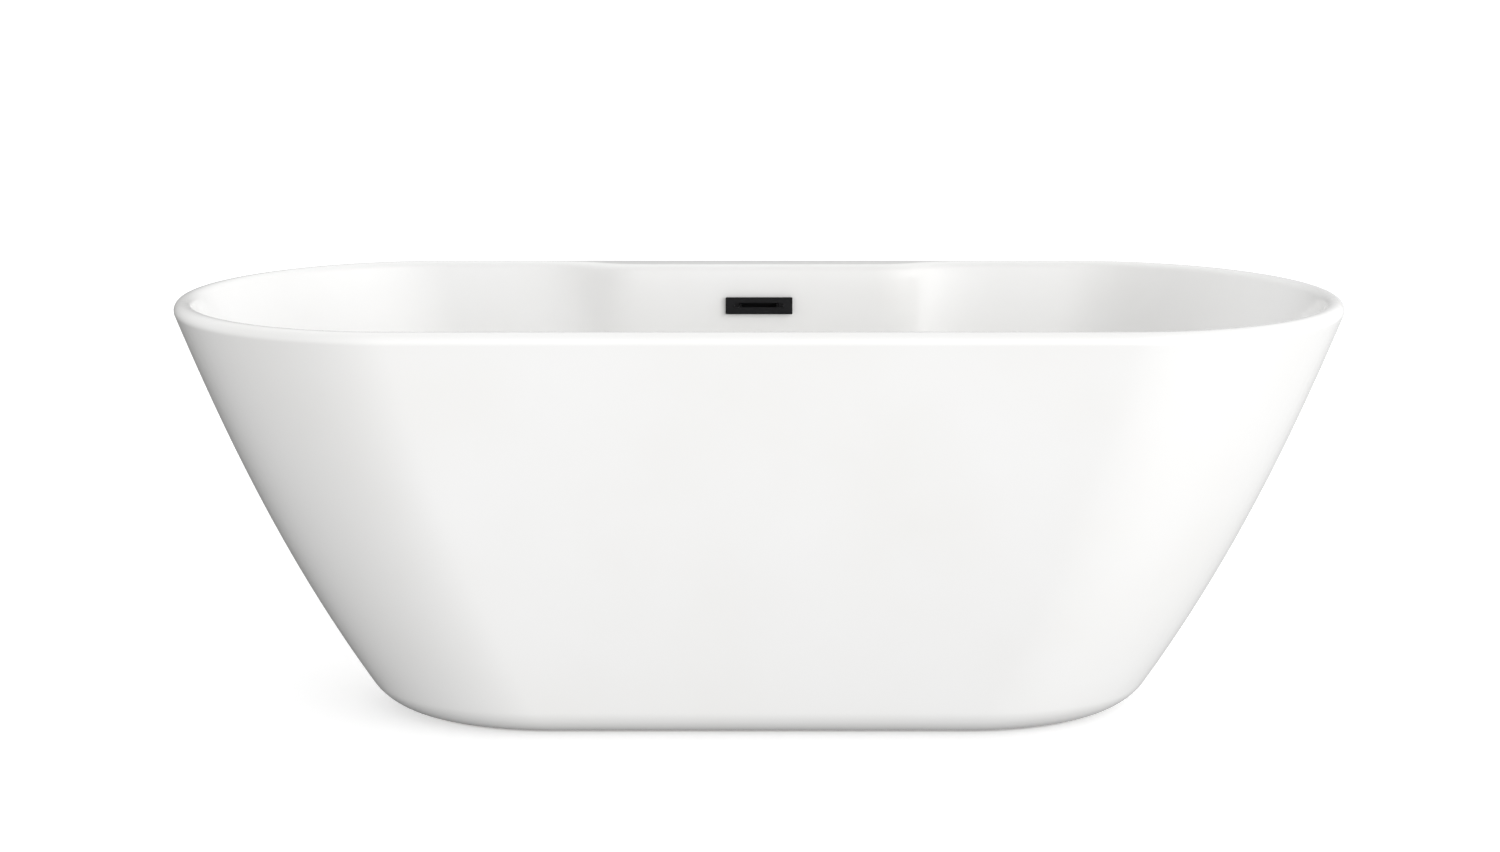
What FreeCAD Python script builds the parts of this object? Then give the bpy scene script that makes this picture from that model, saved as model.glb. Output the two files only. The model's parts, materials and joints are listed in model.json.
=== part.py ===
import FreeCAD, Part
import math
import os

# A freestanding bathtub: an acrylic basin bonded into an acrylic outer skirt, carried on a base board,
# a welded steel frame and four screw feet, with a slotted overflow and a click-clack waste.
# The origin is on the floor under the middle. X runs along the tub, +Y towards the tap ledge, Z up.

os.makedirs("parts", exist_ok=True)
Vec = FreeCAD.Vector
UP = Vec(0, 0, 1)

# overall size
LENGTH = 1600.0
WIDTH = 750.0
HEIGHT = 580.0

# acrylic shells and their glass fibre backing
SHELL = 5.0
BOND_GAP = 0.3
BACKING = 2.5
SEAM_Z = 548.0

# rolled rim: radius of each edge, and the flat crown between the two
RIM_RADIUS = 12.5
RIM_CROWN = 1.0
RIM_CENTRE_Z = HEIGHT - RIM_RADIUS

# outer wall: half sizes where it would meet the floor, and how it bellies on its way up
BASE_HALF_LENGTH = 520.0
BASE_HALF_WIDTH = 197.0
BASE_HALF_STRAIGHT = 283.0
TOP_HALF_STRAIGHT = 469.0
BELLY = 0.318
BELLY_SKEW = 0.062
FLOOR_GAP = 2.0
SKIRT_FOOT_RADIUS = 38.0
SKIRT_LIP = 31.0

# inside of the basin
BATH_FLOOR_Z = 150.0
BATH_HALF_LENGTH = 555.0
BATH_HALF_WIDTH = 200.0
BATH_FLOOR_RADIUS = 70.0

# tap ledge and the flat panel below it, in the middle of the back
LEDGE_FACE_Y = 309.0
LEDGE_HALF_WIDTH = 172.0
LEDGE_FLANK = 186.0
FLANK_SWEEP = 140.0
FLANK_TURN = 88.0
LEDGE_TAPER = 0.085
LEDGE_LEAN = 5.0
LEDGE_BLEND = 6.0
LEDGE_BOARD_HALF = 170.0
LEDGE_BOARD_THICK = 12.0

# base board and steel frame
BOARD_HALF_LENGTH = 450.0
BOARD_HALF_WIDTH = 140.0
BOARD_THICK = 18.0
BOARD_CORNER = 60.0
BED_GAP = 0.25
RAIL = 25.0
RAIL_WALL = 2.0
RAIL_HALF_LENGTH = 375.0
RAIL_Y = 120.0
CROSS_X = 290.0
BRACKET_X = (-200.0, 200.0)
SCREW_SPOTS = (-250.0, -80.0, 80.0, 250.0)

# screw feet
FOOT_X = 350.0
PAD_RADIUS = 22.0
STUD_RADIUS = 6.0
THREAD_CLEARANCE = 0.05
NUT_FLATS = 18.0
WELD_NUT_HEIGHT = 10.0
LOCK_NUT_HEIGHT = 7.0

# waste
DRAIN_Y = 70.0
DRAIN_HOLE_RADIUS = 25.0
FLANGE_RADIUS = 35.0
THROAT_RADIUS = 24.5
STEM_RADIUS = 4.0
TAIL_RADIUS = 20.0
INLET_Z = 78.0
PLUG_LIFT = 9.0

# overflow
OVERFLOW_Z = 520.0
COVER_WIDTH = 99.5
COVER_HEIGHT = 25.0
SLOT_WIDTH = 72.0
SLOT_HEIGHT = 6.5
SLOT_RISE = 1.0
OVERFLOW_PIPE_RADIUS = 9.0
SPIGOT_RADIUS = 7.4

# a quarter of an ellipse drawn as one cubic curve
QUARTER = 0.5523

# degrees round the rounded foot and the rim roll at which the shells have a section
FOOT_STEPS = (0, 15, 30, 45, 60, 75, 90)
ROLL_STEPS = (-22, -8, 10, 28, 46, 62, 76, 90)


def export(name, shape):
    shape.exportStep("parts/%s.step" % name)


def group(shapes):
    return Part.makeCompound(shapes)


def cylinder(radius, low, high, x=0.0, y=0.0):
    return Part.makeCylinder(radius, high - low, Vec(x, y, low), UP)


def cone(radius_low, radius_high, low, high, x=0.0, y=0.0):
    return Part.makeCone(radius_low, radius_high, high - low, Vec(x, y, low), UP)


def tube(outer, inner, low, high, x=0.0, y=0.0):
    return cylinder(outer, low, high, x, y).cut(cylinder(inner, low - 1, high + 1, x, y))


def box(x0, x1, y0, y1, z0, z1):
    return Part.makeBox(x1 - x0, y1 - y0, z1 - z0, Vec(x0, y0, z0))


def hexagon(flats, low, high, x=0.0, y=0.0):
    """A hexagonal prism whose corners are bevelled like a turned nut."""
    corner = flats / math.sqrt(3.0)
    points = []
    for i in range(7):
        turn = math.radians(60.0 * i)
        points.append(Vec(x + corner * math.cos(turn), y + corner * math.sin(turn), low))
    prism = Part.Face(Part.makePolygon(points)).extrude(UP * (high - low))
    bevel = (corner - flats / 2.0) * 0.6
    blank = cylinder(corner, low + bevel, high - bevel, x, y)
    blank = blank.fuse(cone(corner - bevel * 1.7, corner, low, low + bevel, x, y))
    blank = blank.fuse(cone(corner, corner - bevel * 1.7, high - bevel, high, x, y))
    return prism.common(blank)


# ---- the curved shells ----

def bellied(rise):
    """How far a wall has moved out, 0 to 1, when it has climbed rise, 0 to 1."""
    rest = rise * (1.0 - rise)
    return rise + BELLY * rest + BELLY_SKEW * rest * (1.0 - 2.0 * rise)


def half_straight(z):
    """Half the straight part of the plan; the rest of the length is the two elliptical ends."""
    rise = min(1.0, z / RIM_CENTRE_Z)
    return BASE_HALF_STRAIGHT + (TOP_HALF_STRAIGHT - BASE_HALF_STRAIGHT) * bellied(rise)


def fillet_inset(radius, height):
    """Inset of a rounded foot of this radius at a height above its lowest point."""
    if height >= radius:
        return 0.0
    down = 1.0 - height / radius
    return radius * (1.0 - math.sqrt(max(0.0, 1.0 - down * down)))


def outer_half(base, top, z, inward):
    """Half size of the outer wall at height z, on a surface that lies inward of the visible one."""
    lean = math.atan((top - base) * (1.0 - BELLY + BELLY_SKEW) / RIM_CENTRE_Z)
    radius = RIM_RADIUS - inward
    join_z = RIM_CENTRE_Z - radius * math.sin(lean)
    roll_centre = top - RIM_RADIUS
    if z >= join_z:
        return roll_centre + math.sqrt(max(0.0, radius ** 2 - (z - RIM_CENTRE_Z) ** 2))
    at_join = roll_centre + radius * math.cos(lean)
    start = base - inward * 1.15
    half = start + (at_join - start) * bellied(z / join_z)
    return half - fillet_inset(SKIRT_FOOT_RADIUS - inward, z - FLOOR_GAP - inward)


def bath_half(base, top, z, outward):
    """Half size of the bathing space at height z, on a surface that lies outward of the visible one."""
    floor_z = BATH_FLOOR_Z - outward
    lean = math.atan((top - 2 * RIM_RADIUS - base) * (1.0 - BELLY + BELLY_SKEW) / (HEIGHT - floor_z))
    radius = RIM_RADIUS - outward
    join_z = RIM_CENTRE_Z + radius * math.sin(lean)
    roll_centre = top - RIM_RADIUS - RIM_CROWN
    if z >= join_z:
        return roll_centre - math.sqrt(max(0.0, radius ** 2 - (z - RIM_CENTRE_Z) ** 2))
    at_join = roll_centre - radius * math.cos(lean)
    start = base + outward * 1.12
    half = start + (at_join - start) * bellied((z - floor_z) / (join_z - floor_z))
    return half - fillet_inset(BATH_FLOOR_RADIUS + outward, z - floor_z)


def ledge_depth(z, outward):
    """How far the tap ledge and its panel stand in from the side wall at height z."""
    level = min(z, RIM_CENTRE_Z)
    wall = bath_half(BATH_HALF_WIDTH, WIDTH / 2.0, level, outward)
    panel = LEDGE_FACE_Y + outward - (RIM_CENTRE_Z - level) * math.tan(math.radians(LEDGE_LEAN))
    proud = wall - panel
    return 0.5 * (proud + math.sqrt(proud ** 2 + LEDGE_BLEND ** 2))


def ledge_half(z, outward):
    """Half the straight front of the ledge: it narrows down the panel, and its ends roll over at the rim."""
    below = max(0.0, RIM_CENTRE_Z - z)
    radius = RIM_RADIUS - outward
    above = min(radius, max(0.0, z - RIM_CENTRE_Z))
    roll = radius - math.sqrt(radius ** 2 - above ** 2)
    return LEDGE_HALF_WIDTH - outward - below * LEDGE_TAPER - roll


def curve(*points):
    piece = Part.BezierCurve()
    piece.setPoles(list(points))
    return piece.toShape()


def plan_wire(a, b, c, z, ledge=None):
    """Closed plan outline: half length a, half width b, straight half c, with or without the ledge."""
    q = QUARTER
    end = a - c
    edges = [curve(Vec(a, 0, z), Vec(a, q * b, z), Vec(c + q * end, b, z), Vec(c, b, z))]
    if ledge is None:
        edges.append(curve(Vec(c, b, z), Vec(-c, b, z)))
    else:
        narrow, depth = ledge
        wide = narrow + LEDGE_FLANK
        front = b - depth
        flank = [
            Vec(wide, b, z), Vec(wide - FLANK_SWEEP, b, z),
            Vec(narrow + FLANK_TURN, front, z), Vec(narrow, front, z)]
        edges.append(curve(Vec(c, b, z), flank[0]))
        edges.append(curve(*flank))
        edges.append(curve(flank[3], Vec(-narrow, front, z)))
        edges.append(curve(*[Vec(-p.x, p.y, p.z) for p in reversed(flank)]))
        edges.append(curve(Vec(-wide, b, z), Vec(-c, b, z)))
    edges.append(curve(Vec(-c, b, z), Vec(-c - q * end, b, z), Vec(-a, q * b, z), Vec(-a, 0, z)))
    edges.append(curve(Vec(-a, 0, z), Vec(-a, -q * b, z), Vec(-c - q * end, -b, z), Vec(-c, -b, z)))
    edges.append(curve(Vec(-c, -b, z), Vec(c, -b, z)))
    edges.append(curve(Vec(c, -b, z), Vec(c + q * end, -b, z), Vec(a, -q * b, z), Vec(a, 0, z)))
    return Part.Wire(edges)


def levels(low, foot_radius, roll_radius):
    """Section heights: close together in the rounded foot and in the rim roll, spread out between."""
    heights = [low + foot_radius * (1.0 - math.cos(math.radians(g))) for g in FOOT_STEPS]
    wall_low = low + foot_radius
    wall_high = RIM_CENTRE_Z - 16.0
    steps = 9
    heights += [wall_low + (wall_high - wall_low) * i / steps for i in range(1, steps + 1)]
    heights += [RIM_CENTRE_Z + roll_radius * math.sin(math.radians(g)) for g in ROLL_STEPS]
    return heights


def outer_form(inward):
    """Everything inside the outer wall, on a surface that lies inward of the visible one."""
    wires = []
    for z in levels(FLOOR_GAP + inward, SKIRT_FOOT_RADIUS - inward, RIM_RADIUS - inward):
        a = outer_half(BASE_HALF_LENGTH, LENGTH / 2.0, z, inward)
        b = outer_half(BASE_HALF_WIDTH, WIDTH / 2.0, z, inward)
        wires.append(plan_wire(a, b, half_straight(z), z))
    return Part.makeLoft(wires, True, False)


def bath_form(outward):
    """The bathing space with its ledge, grown outward from the visible surface."""
    wires = []
    for z in levels(BATH_FLOOR_Z - outward, BATH_FLOOR_RADIUS + outward, RIM_RADIUS - outward):
        a = bath_half(BATH_HALF_LENGTH, LENGTH / 2.0, z, outward)
        b = bath_half(BATH_HALF_WIDTH, WIDTH / 2.0, z, outward)
        ledge = (ledge_half(z, outward), ledge_depth(z, outward))
        wires.append(plan_wire(a, b, half_straight(z), z, ledge))
    return Part.makeLoft(wires, True, False)


def slab(low, high):
    return box(-LENGTH, LENGTH, -WIDTH, WIDTH, low, high)


outer_face = outer_form(0.0)
outer_inside = outer_form(SHELL)
bath_space = bath_form(0.0)
bath_outside = bath_form(SHELL)
below_seam = slab(0.0, SEAM_Z)
above_seam = slab(SEAM_Z, HEIGHT + 5.0)

open_half_length = BASE_HALF_LENGTH - SKIRT_LIP
open_half_width = BASE_HALF_WIDTH - SKIRT_LIP
open_wire = plan_wire(open_half_length, open_half_width, BASE_HALF_STRAIGHT, -1.0)
underside = Part.Face(open_wire).extrude(UP * 21.0)

skirt = outer_face.cut(outer_inside).common(below_seam).cut(underside)

backing_outer = outer_form(SHELL + BOND_GAP)
backing_inner = outer_form(SHELL + BOND_GAP + BACKING)
skirt_backing = backing_outer.cut(backing_inner).common(slab(0.0, SEAM_Z - 12.0)).cut(underside)

hollow = outer_inside.common(above_seam).cut(bath_outside)
rim_part = outer_face.common(above_seam).cut(bath_space).cut(hollow)
bowl_part = bath_outside.common(below_seam).cut(bath_space)
basin = rim_part.fuse(bowl_part)

backing_depth = SHELL + BOND_GAP + BACKING
bowl_backing = bath_form(backing_depth).cut(bath_form(SHELL + BOND_GAP)).common(slab(0.0, SEAM_Z - 45.0))

# ---- overflow, drawn square to the leaning panel and then tilted into place ----

panel_wall = bath_half(BATH_HALF_WIDTH, WIDTH / 2.0, OVERFLOW_Z, 0.0)
panel_point = Vec(0, panel_wall - ledge_depth(OVERFLOW_Z, 0.0), OVERFLOW_Z)
panel_turn = FreeCAD.Rotation(Vec(1, 0, 0), 90.0 - LEDGE_LEAN)
panel_place = FreeCAD.Placement(panel_point, panel_turn)


def on_panel(shape):
    """Drawn with X along the tub, Y up the panel and Z out into the bath, then put on the panel."""
    placed = shape.copy()
    placed.Placement = panel_place.multiply(placed.Placement)
    return placed


def plate(width, height, low, high, corner, rise=0.0):
    """A plate with rounded corners, centred on X, its middle raised by rise."""
    block = box(-width / 2.0, width / 2.0, rise - height / 2.0, rise + height / 2.0, low, high)
    upright = [e for e in block.Edges if abs(e.tangentAt(e.FirstParameter).z) > 0.9]
    return block.makeFillet(corner, upright)


PANEL_BACK = -SHELL - 0.7
CLIP_LEG_X = 27.5
CLIP_LEG_HALF = 3.0
CLIP_LEG_TIP = -9.0
HOLE_WIDTH = 60.0
HOLE_HEIGHT = 13.0
SCREW_X = 40.5
GASKET_THICK = 2.0
CHAMBER_WALL = 2.5
CHAMBER_DEPTH = 27.0
chamber_front = PANEL_BACK - GASKET_THICK
chamber_back = chamber_front - 3.0 - CHAMBER_DEPTH

water_way = plate(HOLE_WIDTH, HOLE_HEIGHT, -40.0, 20.0, 6.0)
screw_holes = [cylinder(2.7, -40.0, 20.0, x) for x in (-SCREW_X, SCREW_X)]

cover_shell = plate(COVER_WIDTH, COVER_HEIGHT, 0.4, 7.0, 1.5)
front_edges = [e for e in cover_shell.Edges if abs(e.CenterOfMass.z - 7.0) < 0.01]
cover_shell = cover_shell.makeFillet(0.6, front_edges)
cover_shell = cover_shell.cut(plate(COVER_WIDTH - 4.0, COVER_HEIGHT - 4.0, 0.0, 4.8, 1.0))
cover_shell = cover_shell.cut(plate(SLOT_WIDTH, SLOT_HEIGHT, 3.0, 9.0, 0.8, SLOT_RISE))
clip_legs = []
for side in (-1, 1):
    middle = side * CLIP_LEG_X
    leg = box(middle - 1.0, middle + 1.0, -CLIP_LEG_HALF, CLIP_LEG_HALF, CLIP_LEG_TIP, 4.9)
    barb = box(middle - 1.0, middle + 1.0, -CLIP_LEG_HALF, CLIP_LEG_HALF, CLIP_LEG_TIP, CLIP_LEG_TIP + 2.0)
    clip_legs.append(leg.fuse(barb.translated(Vec(-side * 0.8, 0, 0))))
overflow_cover = on_panel(cover_shell.multiFuse(clip_legs))

front_flange = plate(COVER_WIDTH - 6.0, COVER_HEIGHT - 6.0, 0.4, 2.4, 1.5).cut(water_way)
front_flange = front_flange.cut(screw_holes[0]).cut(screw_holes[1])
overflow_flange = on_panel(front_flange)

gasket = plate(90.0, 22.0, PANEL_BACK - GASKET_THICK, PANEL_BACK, 4.0).cut(water_way)
gasket = gasket.cut(screw_holes[0]).cut(screw_holes[1])
overflow_gasket = on_panel(gasket)

chamber = plate(90.0, 22.0, chamber_front - 3.0, chamber_front, 4.0)
outer_box = plate(HOLE_WIDTH + 5.0, HOLE_HEIGHT + 5.0, chamber_back, chamber_front - 3.0, 4.0)
inner_box = plate(HOLE_WIDTH, HOLE_HEIGHT, chamber_back + CHAMBER_WALL, 1.0, 3.0)
spigot_y = chamber_front - 3.0 - CHAMBER_DEPTH / 2.0
bosses = [cylinder(4.0, chamber_front - 14.0, chamber_front - 3.0, x) for x in (-SCREW_X, SCREW_X)]
chamber = chamber.fuse(outer_box).multiFuse(bosses).cut(inner_box)
pilot = [cylinder(2.45, chamber_front - 12.0, 1.0, x) for x in (-SCREW_X, SCREW_X)]
chamber = on_panel(chamber.cut(pilot[0]).cut(pilot[1]))
spigot_at = panel_place.multVec(Vec(0, 0, spigot_y))
spigot_low = spigot_at.z - 33.0
spigot_top = spigot_at.z - HOLE_HEIGHT / 2.0 + 1.5
spigot = cylinder(SPIGOT_RADIUS, spigot_low, spigot_top, 0.0, spigot_at.y)
spigot_bore = cylinder(SPIGOT_RADIUS - 2.0, spigot_low - 1.0, spigot_at.z, 0.0, spigot_at.y)
overflow_chamber = chamber.fuse(spigot).cut(spigot_bore)

screw_set = []
for x in (-SCREW_X, SCREW_X):
    head = cone(4.6, 2.6, 2.4, 4.4, x).cut(box(x - 0.5, x + 0.5, -3.0, 3.0, 3.5, 5.0))
    screw_set.append(on_panel(head.fuse(cylinder(2.4, chamber_front - 10.0, 2.4, x))))
overflow_screws = group(screw_set)

basin = basin.cut(on_panel(water_way)).cut(on_panel(screw_holes[0])).cut(on_panel(screw_holes[1]))
backing_window = on_panel(plate(100.0, 32.0, -40.0, 20.0, 6.0))
bowl_backing = bowl_backing.cut(backing_window)

# ---- drain opening through the floor ----

recess = cylinder(FLANGE_RADIUS + 1.0, BATH_FLOOR_Z - 2.0, BATH_FLOOR_Z + 5.0, 0.0, DRAIN_Y)
dish = cone(FLANGE_RADIUS + 1.0, FLANGE_RADIUS + 21.0, BATH_FLOOR_Z - 1.2, BATH_FLOOR_Z + 0.01, 0.0, DRAIN_Y)
drain_hole = cylinder(DRAIN_HOLE_RADIUS, 90.0, BATH_FLOOR_Z + 5.0, 0.0, DRAIN_Y)
basin = basin.cut(recess).cut(dish).cut(drain_hole)
bowl_backing = bowl_backing.cut(cylinder(DRAIN_HOLE_RADIUS + 1.0, 90.0, BATH_FLOOR_Z, 0.0, DRAIN_Y))

export("inner_basin", basin)
export("basin_backing", bowl_backing)
export("outer_skirt", skirt)
export("skirt_backing", skirt_backing)
export("overflow_cover", overflow_cover)
export("overflow_flange", overflow_flange)
export("overflow_gasket", overflow_gasket)
export("overflow_chamber", overflow_chamber)
export("overflow_screws", overflow_screws)

# ---- boards ----

board_top = BATH_FLOOR_Z - backing_depth - BED_GAP
board_low = board_top - BOARD_THICK
ledge_board_top = HEIGHT - SHELL
ledge_board_y = LEDGE_FACE_Y + RIM_RADIUS + 2.0
ledge_board = box(
    -LEDGE_BOARD_HALF, LEDGE_BOARD_HALF, ledge_board_y, WIDTH / 2.0 - RIM_RADIUS - 6.0,
    ledge_board_top - LEDGE_BOARD_THICK, ledge_board_top)
export("tap_ledge_board", ledge_board)

base_board = box(
    -BOARD_HALF_LENGTH, BOARD_HALF_LENGTH, -BOARD_HALF_WIDTH, BOARD_HALF_WIDTH, board_low, board_top)
corners = [e for e in base_board.Edges if abs(e.tangentAt(e.FirstParameter).z) > 0.9]
base_board = base_board.makeFillet(BOARD_CORNER, corners)
base_board = base_board.cut(cylinder(46.0, board_low - 1, board_top + 1, 0.0, DRAIN_Y))

# ---- welded frame ----

rail_top = board_low
rail_low = rail_top - RAIL


def square_tube(x0, x1, y0, y1, along_x):
    solid = box(x0, x1, y0, y1, rail_low, rail_top)
    w = RAIL_WALL
    if along_x:
        return solid.cut(box(x0 - 1, x1 + 1, y0 + w, y1 - w, rail_low + w, rail_top - w))
    return solid.cut(box(x0 + w, x1 - w, y0 - 1, y1 + 1, rail_low + w, rail_top - w))


def long_rail(side):
    rail = square_tube(
        -RAIL_HALF_LENGTH, RAIL_HALF_LENGTH, side * RAIL_Y - RAIL / 2, side * RAIL_Y + RAIL / 2, True)
    for x in (-FOOT_X, FOOT_X):
        rail = rail.cut(cylinder(STUD_RADIUS + 1.0, rail_low - 1, rail_low + 5, x, side * RAIL_Y))
    for x in BRACKET_X:
        wall_y = side * (RAIL_Y + RAIL / 2)
        hole = Part.makeCylinder(3.1, 8.0, Vec(x, wall_y - 4.0, rail_low + RAIL / 2), Vec(0, 1, 0))
        rail = rail.cut(hole)
    for x in SCREW_SPOTS:
        rail = rail.cut(cylinder(2.6, rail_low - 1, rail_top + 1, x, side * RAIL_Y))
    return rail


def cross_rail(side):
    reach = RAIL_Y - RAIL / 2
    return square_tube(side * CROSS_X - RAIL / 2, side * CROSS_X + RAIL / 2, -reach, reach, False)


export("frame_rail_front", long_rail(-1))
export("frame_rail_back", long_rail(1))
export("frame_crossbar_left", cross_rail(-1))
export("frame_crossbar_right", cross_rail(1))

wood_screws = []
for side in (-1, 1):
    for x in SCREW_SPOTS:
        base_board = base_board.cut(cylinder(2.45, board_low - 1, board_low + 13, x, side * RAIL_Y))
        shank = cylinder(2.4, rail_low - 0.01, board_low + 12, x, side * RAIL_Y)
        head = cone(3.0, 5.0, rail_low - 3.0, rail_low, x, side * RAIL_Y)
        socket = hexagon(3.2, rail_low - 4.0, rail_low - 1.4, x, side * RAIL_Y)
        wood_screws.append(shank.fuse(head).cut(socket))
export("frame_screws", group(wood_screws))
export("base_board", base_board)

# ---- brackets that steady the skirt against the frame ----

STRAP = 3.0
STRAP_WIDTH = 30.0
TAB_HEIGHT = 34.0


def skirt_inside_y(z):
    return outer_half(BASE_HALF_WIDTH, WIDTH / 2.0, z, SHELL + BOND_GAP + BACKING)


def skirt_bracket(x, side):
    """Bent strap: up the rail, out to the skirt, then up along the skirt's slope."""
    arm_z = rail_low - STRAP
    rail_y = RAIL_Y + RAIL / 2
    low_y = skirt_inside_y(arm_z) - 1.2
    high_z = arm_z + TAB_HEIGHT
    high_y = skirt_inside_y(high_z) - 1.2
    points = [
        (rail_y, arm_z), (low_y, arm_z), (high_y, high_z), (high_y - STRAP, high_z),
        (low_y - STRAP - 0.6, arm_z + STRAP), (rail_y + STRAP, arm_z + STRAP),
        (rail_y + STRAP, rail_top - 2.0), (rail_y, rail_top - 2.0), (rail_y, arm_z)]
    outline = Part.makePolygon([Vec(x - STRAP_WIDTH / 2, side * y, z) for y, z in points])
    strap = Part.Face(outline).extrude(Vec(STRAP_WIDTH, 0, 0))
    start = Vec(x, side * (rail_y - 1.0), rail_low + RAIL / 2)
    return strap.cut(Part.makeCylinder(3.1, 8.0, start, Vec(0, side, 0)))


bracket_bolts = []
for side, side_name in ((-1, "front"), (1, "back")):
    for x, end_name in zip(BRACKET_X, ("left", "right")):
        export("skirt_bracket_%s_%s" % (side_name, end_name), skirt_bracket(x, side))
        bolt_head = hexagon(10.0, 0.0, 4.0).cut(cylinder(2.4, 3.2, 5.0))
        bolt = bolt_head.fuse(cylinder(3.0, -11.0, 0.0))
        seat = Vec(x, side * (RAIL_Y + RAIL / 2 + STRAP), rail_low + RAIL / 2)
        bolt.Placement = FreeCAD.Placement(seat, FreeCAD.Rotation(Vec(1, 0, 0), -90.0 * side))
        bracket_bolts.append(bolt)
export("bracket_bolts", group(bracket_bolts))

# ---- screw feet ----

PAD_HEIGHT = 8.0
HUB_RADIUS = 10.0
HUB_HEIGHT = 15.0
SOCKET_LOW = 5.0
DRIVE_LOW = 16.0
DRIVE_HIGH = 25.0
DRIVE_FLATS = 15.0
weld_nut_low = rail_low - WELD_NUT_HEIGHT
lock_nut_low = weld_nut_low - LOCK_NUT_HEIGHT
stud_top = rail_top - RAIL_WALL - 6.0


def foot_pad(x, y):
    pad = cylinder(PAD_RADIUS, 0.0, PAD_HEIGHT, x, y)
    pad = pad.makeFillet(1.5, [e for e in pad.Edges if len(e.Vertexes) == 1])
    pad = pad.fuse(cone(HUB_RADIUS + 3.0, HUB_RADIUS, PAD_HEIGHT - 0.5, HUB_HEIGHT, x, y))
    for i in range(8):
        rib = box(HUB_RADIUS - 2.0, PAD_RADIUS - 3.0, -0.9, 0.9, PAD_HEIGHT - 0.5, PAD_HEIGHT + 2.0)
        rib.rotate(Vec(0, 0, 0), UP, 45.0 * i)
        pad = pad.fuse(rib.translated(Vec(x, y, 0)))
    return pad.cut(cylinder(5.0 + THREAD_CLEARANCE, SOCKET_LOW, HUB_HEIGHT + 1, x, y))


def foot_stud(x, y):
    stud = cylinder(5.0, SOCKET_LOW, DRIVE_LOW, x, y)
    stud = stud.fuse(hexagon(DRIVE_FLATS, DRIVE_LOW, DRIVE_HIGH, x, y))
    stud = stud.fuse(cylinder(STUD_RADIUS, DRIVE_HIGH, stud_top - 1.2, x, y))
    return stud.fuse(cone(STUD_RADIUS, STUD_RADIUS - 1.2, stud_top - 1.2, stud_top, x, y))


weld_nuts = []
lock_nuts = []
for y, y_name in ((-RAIL_Y, "front"), (RAIL_Y, "back")):
    for x, x_name in ((-FOOT_X, "left"), (FOOT_X, "right")):
        export("foot_pad_%s_%s" % (y_name, x_name), foot_pad(x, y))
        export("foot_stud_%s_%s" % (y_name, x_name), foot_stud(x, y))
        nut_bore = cylinder(STUD_RADIUS + THREAD_CLEARANCE, lock_nut_low - 1, rail_low + 1, x, y)
        weld_nuts.append(hexagon(NUT_FLATS, weld_nut_low, rail_low, x, y).cut(nut_bore))
        lock_nuts.append(hexagon(NUT_FLATS, lock_nut_low, weld_nut_low, x, y).cut(nut_bore))
export("frame_weld_nuts", group(weld_nuts))
export("foot_lock_nuts", group(lock_nuts))

# ---- waste: flange, click-clack plug, body and tailpiece on the drain axis ----

SEAL_THICK = 1.0
flange_low = BATH_FLOOR_Z - 2.0 + SEAL_THICK
flange_top = flange_low + 2.5
throat_low = 92.0
SPIDER_LOW = 116.0
SPIDER_HIGH = 124.0
CARTRIDGE_RADIUS = 8.0


def at_drain(shape):
    return shape.translated(Vec(0, DRAIN_Y, 0))


def lifted(shape):
    """A piece of the plug, drawn with the plug shut, in its open place."""
    return shape.translated(Vec(0, DRAIN_Y, PLUG_LIFT))


rim_disc = cylinder(FLANGE_RADIUS, flange_low, flange_top)
top_edge = [e for e in rim_disc.Edges if abs(e.CenterOfMass.z - flange_top) < 0.01 and len(e.Vertexes) == 1]
rim_disc = rim_disc.makeFillet(1.2, top_edge)
flange = rim_disc.fuse(cylinder(THROAT_RADIUS, throat_low, flange_low + 0.5))
flange = flange.cut(cylinder(21.0, throat_low - 1, flange_top + 1))
flange = flange.cut(cone(21.0, 24.0, flange_top - 3.0, flange_top + 0.01))
for i in range(4):
    spoke = box(6.0, 22.0, -1.5, 1.5, SPIDER_LOW, SPIDER_HIGH)
    spoke.rotate(Vec(0, 0, 0), UP, 45.0 + 90.0 * i)
    flange = flange.fuse(spoke)
flange = flange.fuse(cylinder(11.0, SPIDER_LOW, SPIDER_HIGH))
flange = flange.cut(cylinder(CARTRIDGE_RADIUS + THREAD_CLEARANCE, SPIDER_LOW - 1, SPIDER_HIGH + 1))
export("drain_flange", at_drain(flange))
flange_seal = tube(FLANGE_RADIUS - 0.5, DRAIN_HOLE_RADIUS, flange_low - SEAL_THICK, flange_low)
export("drain_flange_seal", at_drain(flange_seal))

CARTRIDGE_LOW = 96.0
CARTRIDGE_HIGH = 136.0
STEM_LOW = 113.0
STEM_FOOT = 2.0
CHAMBER_RADIUS = 5.6
SPRING_LOW = CARTRIDGE_LOW + 2.0
cartridge = cylinder(CARTRIDGE_RADIUS, CARTRIDGE_LOW, CARTRIDGE_HIGH)
cartridge = cartridge.fuse(hexagon(17.0, SPIDER_HIGH, SPIDER_HIGH + 4.0))
cartridge = cartridge.cut(cylinder(CHAMBER_RADIUS, SPRING_LOW, CARTRIDGE_HIGH - 6.0))
cartridge = cartridge.cut(cylinder(STEM_RADIUS + THREAD_CLEARANCE, SPRING_LOW, CARTRIDGE_HIGH + 1))
export("plug_cartridge", at_drain(cartridge))

stem = cylinder(STEM_RADIUS, STEM_LOW, flange_top + 3.0)
stem = stem.fuse(cylinder(CHAMBER_RADIUS - 0.3, STEM_LOW, STEM_LOW + STEM_FOOT))
export("plug_stem", lifted(stem))

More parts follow.
